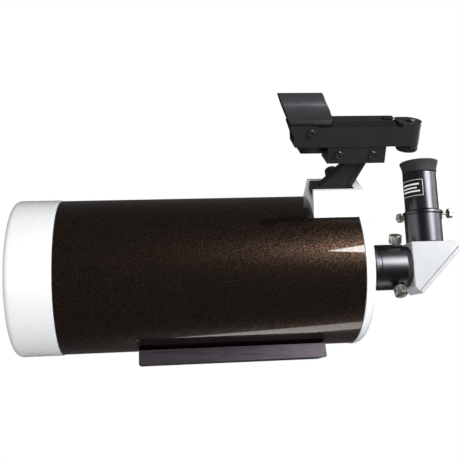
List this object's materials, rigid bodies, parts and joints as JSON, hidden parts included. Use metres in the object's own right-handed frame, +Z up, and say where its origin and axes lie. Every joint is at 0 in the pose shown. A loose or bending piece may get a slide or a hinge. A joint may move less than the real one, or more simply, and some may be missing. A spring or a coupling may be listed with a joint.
{
  "type": "catadioptric telescope tube with red-dot finder, star diagonal and eyepiece",
  "caption": "Short closed telescope tube on a dovetail bar, with a mirror diagonal, an eyepiece and a red-dot sight.",
  "frame": {"origin": "middle of the flat underside of the dovetail bar", "axes": "+X along the optical axis to the rear, where the eyepiece is; the front lens looks along -X; +Z up, from the bar to the tube"},
  "size_m": [0.4263, 0.1894, 0.2234],
  "materials": {
    "flake_paint": "dark brown metallic flake under a glossy clear coat",
    "white_enamel": "gloss white enamel on cast aluminium",
    "black_anodised": "black anodised, satin",
    "dovetail_anodised": "dark grey-purple anodised, satin",
    "diagonal_shell": "pale grey satin moulding",
    "black_plastic": "black satin moulding",
    "nickel": "bright nickel",
    "blackened_steel": "blackened, satin",
    "chrome_barrel": "polished",
    "machined": "as machined",
    "brass": "turned",
    "black_rubber": "matte",
    "optical_glass": "coated, clear",
    "sight_glass": "red-reflecting coating, tilted window",
    "silvered": "aluminised",
    "cork": "cork composition"
  },
  "bodies": {
    "optical_tube": {"main_tube": "flake_paint", "front_ring": "white_enamel", "corrector_retainer": "black_anodised", "corrector_lens": "optical_glass", "corrector_gasket": "cork", "secondary_baffle": "black_anodised", "rear_cell": "white_enamel", "primary_baffle": "black_anodised", "focus_bush": "brass", "collimation_screw_1": "nickel", "collimation_screw_2": "nickel", "collimation_screw_3": "nickel", "rear_port_adapter": "black_anodised", "visual_back": "black_anodised", "dovetail_bar": "dovetail_anodised", "dovetail_backing_strip": "machined", "dovetail_screw_front": "nickel", "dovetail_screw_rear": "nickel", "finder_shoe": "white_enamel", "shoe_screw_front": "nickel", "shoe_screw_rear": "nickel"},
    "focuser": {"focus_knob": "black_rubber", "focus_screw": "nickel"},
    "mirror_cell": {"mirror_carrier": "machined", "primary_mirror": "silvered", "mirror_retainer": "black_anodised"},
    "back_screw_upper": {"visual_back_screw_upper": "nickel"},
    "back_screw_lower": {"visual_back_screw_lower": "nickel"},
    "star_diagonal": {"diagonal_body": "diagonal_shell", "diagonal_nosepiece": "chrome_barrel", "diagonal_mirror": "silvered", "diagonal_pad": "cork", "diagonal_cover": "diagonal_shell", "diagonal_cover_screw_upper": "nickel", "diagonal_cover_screw_lower": "nickel", "eyepiece_holder": "black_anodised"},
    "holder_screw_a": {"holder_screw_rear": "nickel"},
    "holder_screw_b": {"holder_screw_front": "nickel"},
    "eyepiece": {"eyepiece_barrel": "black_anodised", "eyepiece_nosepiece": "chrome_barrel", "field_lens": "optical_glass", "lens_spacer": "black_anodised", "eye_lens": "optical_glass", "eyecup": "black_rubber"},
    "shoe_clamp": {"shoe_thumbscrew": "black_plastic"},
    "finder_mount": {"finder_bracket": "black_plastic", "finder_clamp_screw_front": "blackened_steel", "finder_clamp_screw_rear": "blackened_steel"},
    "azimuth_adjuster": {"finder_azimuth_knob": "black_plastic"},
    "finder_cradle": {"finder_frame": "black_plastic", "finder_pivot_screw": "blackened_steel"},
    "altitude_adjuster": {"finder_altitude_knob": "black_plastic", "finder_altitude_cap": "blackened_steel"},
    "finder_sight": {"finder_body": "black_plastic", "finder_battery": "machined", "finder_led": "optical_glass", "finder_hood": "black_plastic", "finder_window": "sight_glass"},
    "power_switch": {"finder_switch": "black_plastic"}
  },
  "joints": [
    {"name": "focus_turn", "type": "hinge", "parent": "optical_tube", "child": "focuser", "pos_m": [0.125, 0.045, 0.085], "axis": [1, 0, 0], "range_deg": [-2190, 1470]},
    {"name": "mirror_focus", "type": "slide", "parent": "optical_tube", "child": "mirror_cell", "axis": [1, 0, 0], "range_m": [-0.006, 0.004]},
    {"name": "back_screw_upper_turn", "type": "hinge", "parent": "optical_tube", "child": "back_screw_upper", "pos_m": [0.1652, 0, 0.085], "axis": [0, -0.4462, 0.8949], "range_deg": [0, 720]},
    {"name": "back_screw_lower_turn", "type": "hinge", "parent": "optical_tube", "child": "back_screw_lower", "pos_m": [0.1652, 0, 0.085], "axis": [0, -0.4305, -0.9026], "range_deg": [0, 720]},
    {"name": "diagonal_turn", "type": "hinge", "parent": "optical_tube", "child": "star_diagonal", "pos_m": [0.17, 0, 0.085], "axis": [1, 0, 0], "continuous": true},
    {"name": "holder_screw_a_turn", "type": "hinge", "parent": "star_diagonal", "child": "holder_screw_a", "pos_m": [0.1996, -0.00415, 0.13774], "axis": [1, 0, 0], "range_deg": [0, 720]},
    {"name": "holder_screw_b_turn", "type": "hinge", "parent": "star_diagonal", "child": "holder_screw_b", "pos_m": [0.1996, -0.00415, 0.13774], "axis": [-0.5736, 0.8166, 0.0643], "range_deg": [0, 720]},
    {"name": "eyepiece_lift", "type": "slide", "parent": "star_diagonal", "child": "eyepiece", "axis": [0, -0.0785, 0.9969], "range_m": [0, 0.03]},
    {"name": "shoe_clamp_turn", "type": "hinge", "parent": "optical_tube", "child": "shoe_clamp", "pos_m": [0.1015, -0.03991, 0.16109], "axis": [0, 0.4305, 0.9026], "range_deg": [0, 720]},
    {"name": "finder_slide", "type": "slide", "parent": "optical_tube", "child": "finder_mount", "axis": [-1, 0, 0], "range_m": [0, 0.045]},
    {"name": "finder_azimuth", "type": "hinge", "parent": "finder_mount", "child": "azimuth_adjuster", "pos_m": [0.0706, -0.0776, 0.17914], "axis": [0, -0.6361, 0.7716], "range_deg": [-40, 40]},
    {"name": "finder_pan", "type": "hinge", "parent": "finder_mount", "child": "finder_cradle", "pos_m": [0.0706, -0.08333, 0.18608], "axis": [0, -0.6361, 0.7716], "range_deg": [-2.1, 2.1]},
    {"name": "finder_altitude", "type": "hinge", "parent": "finder_cradle", "child": "altitude_adjuster", "pos_m": [0.161, -0.08714, 0.19071], "axis": [0, -0.6361, 0.7716], "range_deg": [-90, 90]},
    {"name": "finder_tilt", "type": "hinge", "parent": "finder_cradle", "child": "finder_sight", "pos_m": [0.0687, -0.09058, 0.19488], "axis": [0, 0.7716, 0.6361], "range_deg": [-1.6, 1.6]},
    {"name": "switch_slide", "type": "slide", "parent": "finder_sight", "child": "power_switch", "axis": [-1, 0, 0], "range_m": [0, 0.0038]}
  ],
  "couplings": [
    {"joint": "focus_turn", "follows": "mirror_focus", "rad_per_m": 6283.2},
    {"joint": "finder_pan", "follows": "finder_azimuth", "ratio": 0.05},
    {"joint": "finder_tilt", "follows": "finder_altitude", "ratio": 0.016667}
  ]
}
